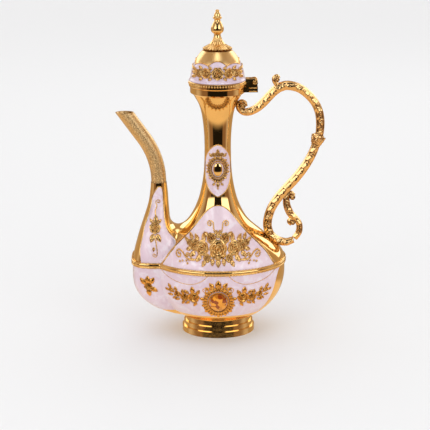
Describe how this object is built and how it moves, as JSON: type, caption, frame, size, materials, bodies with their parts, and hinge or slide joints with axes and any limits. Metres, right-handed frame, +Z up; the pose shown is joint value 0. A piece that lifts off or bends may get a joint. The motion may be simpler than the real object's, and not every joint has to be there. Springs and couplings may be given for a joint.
{
  "type": "coffee pot",
  "caption": "Long-spouted gilt metal coffee pot with pink enamel panels, cast rose ornament, a scrolled handle and a hinged domed lid with a finial.",
  "frame": {"origin": "on the neck's axis at the surface the pot stands on", "axes": "+Z up; the spout points to -X and the handle to +X; the decorated front faces -Y"},
  "size_m": [0.2036, 0.1082, 0.32],
  "materials": {
    "polished_gold": "polished",
    "engraved_gold": "satin",
    "cast_gold": "satin",
    "inner_brass": "satin",
    "pink_enamel": "gloss",
    "lilac_enamel": "gloss",
    "amber_stone": "gloss"
  },
  "bodies": {
    "pot": {"base_bowl": "polished_gold", "bottom_plate": "inner_brass", "bowl_enamel_back": "pink_enamel", "bowl_enamel_front": "pink_enamel", "bowl_garland_back": "cast_gold", "bowl_garland_front": "cast_gold", "bowl_jewel_back": "amber_stone", "bowl_jewel_front": "amber_stone", "bowl_medallion_back": "cast_gold", "bowl_medallion_front": "cast_gold", "foot_ring": "polished_gold", "handle_arch": "engraved_gold", "handle_knuckle": "engraved_gold", "handle_screws": "inner_brass", "handle_scroll": "engraved_gold", "handle_stem": "engraved_gold", "hinge_bracket": "polished_gold", "hinge_pin": "polished_gold", "neck_cabochon_back": "polished_gold", "neck_cabochon_front": "polished_gold", "neck_collar": "polished_gold", "neck_medallion_back": "cast_gold", "neck_medallion_front": "cast_gold", "neck_panel_back": "pink_enamel", "neck_panel_front": "pink_enamel", "neck_swag_back": "cast_gold", "neck_swag_front": "cast_gold", "rose_spray_back": "cast_gold", "rose_spray_front": "cast_gold", "shoulder_panel_back": "pink_enamel", "shoulder_panel_front": "pink_enamel", "spout_panel_back": "pink_enamel", "spout_panel_front": "pink_enamel", "spout_spray_back": "cast_gold", "spout_spray_front": "cast_gold", "spout_strainer": "inner_brass", "spout_tube": "engraved_gold", "thumb_scroll": "engraved_gold", "upper_body": "polished_gold", "waist_band": "polished_gold"},
    "lid": {"finial": "polished_gold", "finial_nut": "inner_brass", "finial_rosette": "cast_gold", "lid_dome": "polished_gold", "lid_enamel": "lilac_enamel", "lid_garland_back": "cast_gold", "lid_garland_front": "cast_gold", "lid_leaf": "polished_gold", "lid_plug": "inner_brass", "lid_rim": "polished_gold"}
  },
  "joints": [
    {"name": "lid_hinge", "type": "hinge", "parent": "pot", "child": "lid", "pos_m": [0.0346, 0, 0.251], "axis": [0, 1, 0], "range_deg": [0, 90]}
  ]
}
